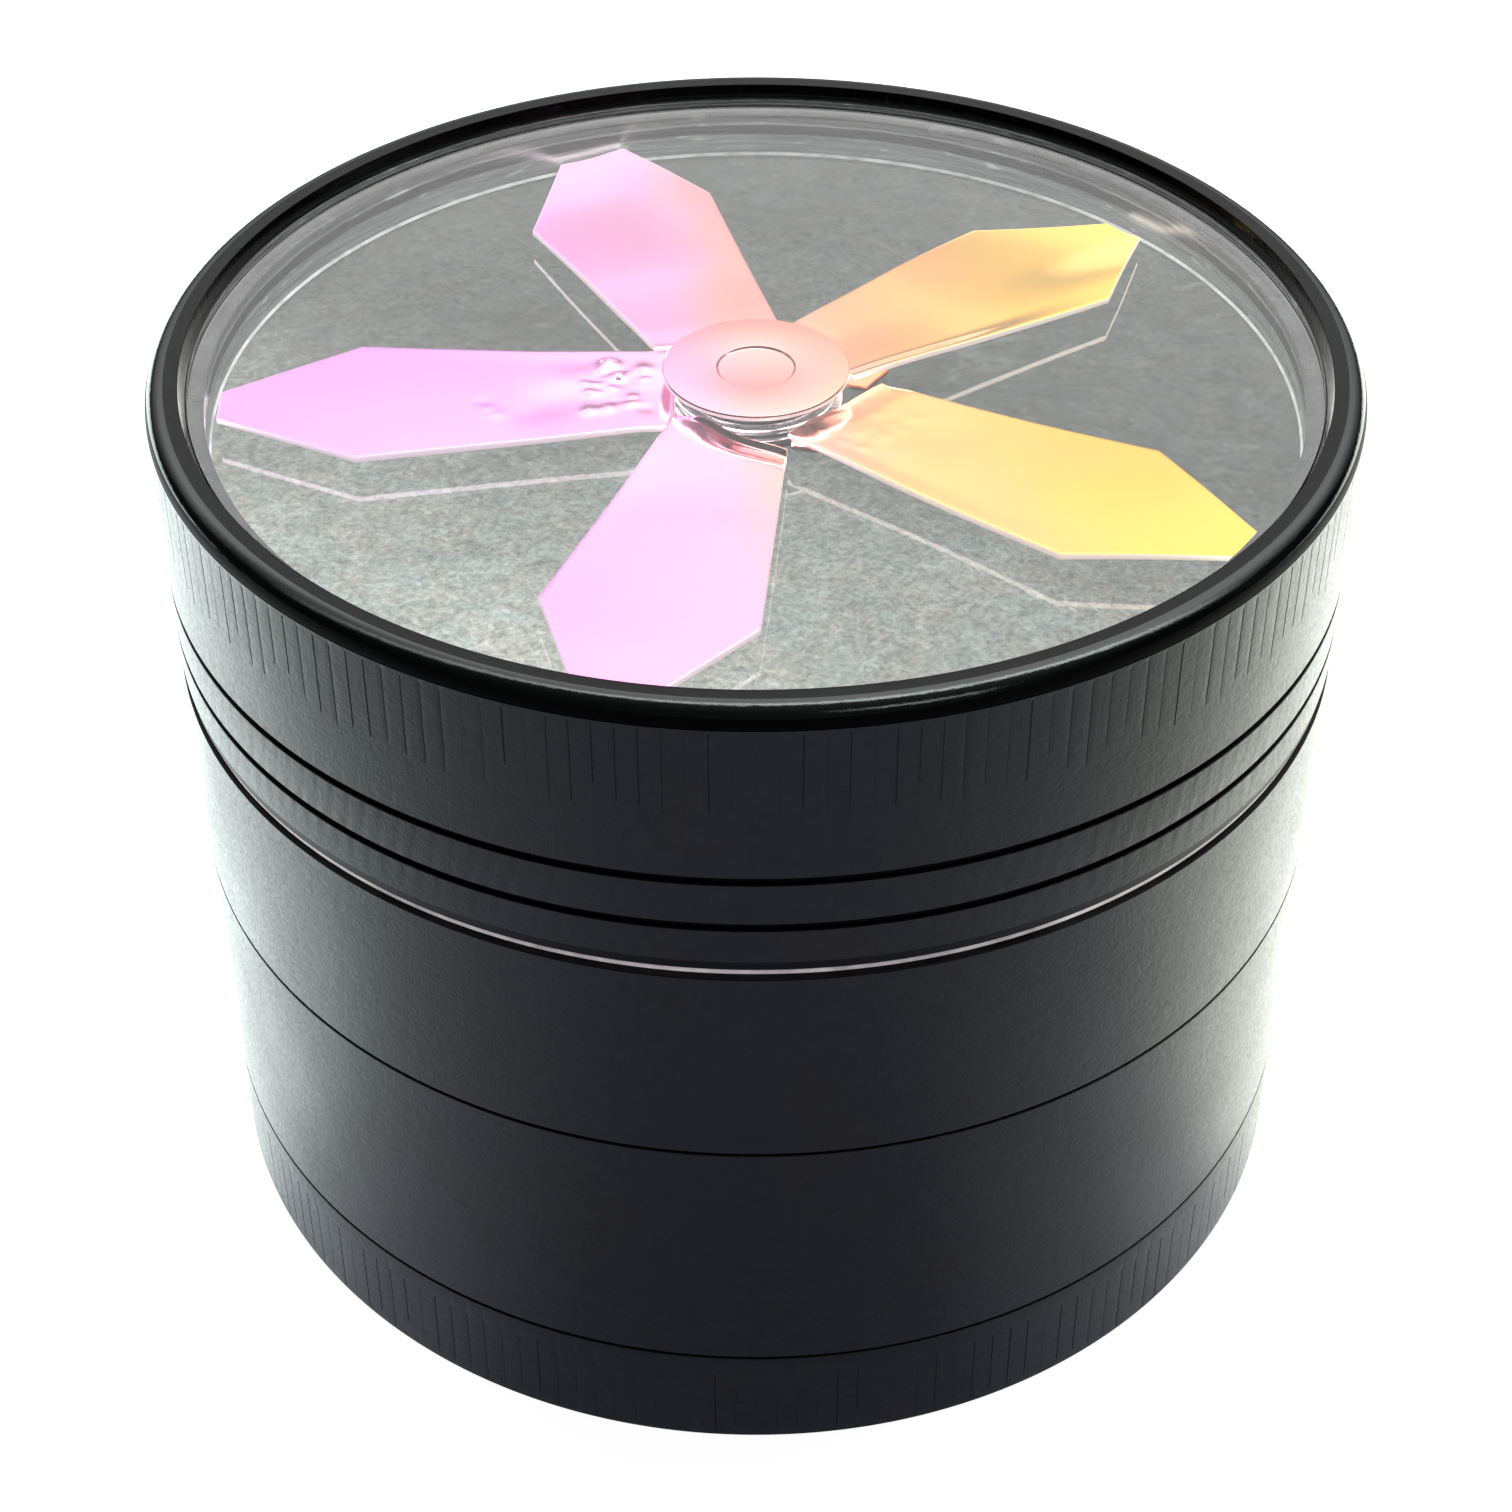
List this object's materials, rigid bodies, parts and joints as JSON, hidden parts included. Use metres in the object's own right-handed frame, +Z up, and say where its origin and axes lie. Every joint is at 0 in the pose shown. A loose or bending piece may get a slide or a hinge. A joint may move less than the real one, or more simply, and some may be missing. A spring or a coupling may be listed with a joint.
{
  "type": "herb grinder",
  "caption": "Round metal herb grinder: a clear-windowed lid over a free-spinning blade wheel, toothed grinding chamber, screened storage chamber and catcher cup.",
  "frame": {"origin": "centre of the catcher cup's flat underside", "axes": "+Z up along the axis shared by every turned piece; +Y towards the back"},
  "size_m": [0.063, 0.063, 0.05],
  "materials": {
    "body": "black anodised, finely blasted satin",
    "window": "clear polished acrylic",
    "spinner": "mirror-bright iridescent coating, violet-pink to gold",
    "nylon": "natural translucent nylon",
    "magnet": "bright nickel plate",
    "steel": "turned steel",
    "screen_mesh": "plain-weave stainless wire",
    "brass": "turned brass"
  },
  "bodies": {
    "catcher": {"catcher_cup": "body"},
    "screen_clamp": {"screen_ring": "steel"},
    "storage": {"storage_chamber": "body", "pollen_screen": "screen_mesh"},
    "post_magnet": {"chamber_magnet": "magnet"},
    "grinder": {"grinding_chamber": "body"},
    "slip_ring": {"friction_ring": "nylon"},
    "lid": {"lid_shell": "body", "lid_window": "window", "window_spacer": "window", "lid_magnet": "magnet", "axle_pin": "steel", "axle_washer": "brass", "bearing_inner_race": "steel"},
    "cage": {"bearing_cage": "brass", "bearing_ball_1": "steel", "bearing_ball_2": "steel", "bearing_ball_3": "steel", "bearing_ball_4": "steel", "bearing_ball_5": "steel", "bearing_ball_6": "steel"},
    "spinner": {"spinner_blades": "spinner", "spinner_hub_cap": "spinner", "hub_collar": "brass", "bearing_outer_race": "steel"}
  },
  "joints": [
    {"name": "storage_rise", "type": "slide", "parent": "catcher", "child": "screen_clamp", "axis": [0, 0, 1], "range_m": [0, 0.00301]},
    {"name": "storage_unscrew", "type": "hinge", "parent": "screen_clamp", "child": "storage", "pos_m": [0, 0, 0.0094], "axis": [0, 0, 1], "range_deg": [0, 720]},
    {"name": "chamber_rise", "type": "slide", "parent": "storage", "child": "post_magnet", "axis": [0, 0, 1], "range_m": [0, 0.00452]},
    {"name": "chamber_unscrew", "type": "hinge", "parent": "post_magnet", "child": "grinder", "pos_m": [0, 0, 0.0324], "axis": [0, 0, 1], "range_deg": [0, 1080]},
    {"name": "lid_lift", "type": "slide", "parent": "grinder", "child": "slip_ring", "axis": [0, 0, 1], "range_m": [0, 0.03]},
    {"name": "lid_turn", "type": "hinge", "parent": "slip_ring", "child": "lid", "pos_m": [0, 0, 0.0343], "axis": [0, 0, 1], "continuous": true},
    {"name": "spinner_spin", "type": "hinge", "parent": "lid", "child": "spinner", "pos_m": [0, 0, 0.04655], "axis": [0, 0, 1], "continuous": true},
    {"name": "cage_spin", "type": "hinge", "parent": "lid", "child": "cage", "pos_m": [0, 0, 0.04655], "axis": [0, 0, 1], "continuous": true}
  ],
  "couplings": [
    {"joint": "storage_rise", "follows": "storage_unscrew", "m_per_rad": 0.00023873},
    {"joint": "chamber_rise", "follows": "chamber_unscrew", "m_per_rad": 0.00023873},
    {"joint": "cage_spin", "follows": "spinner_spin", "ratio": 0.589}
  ]
}
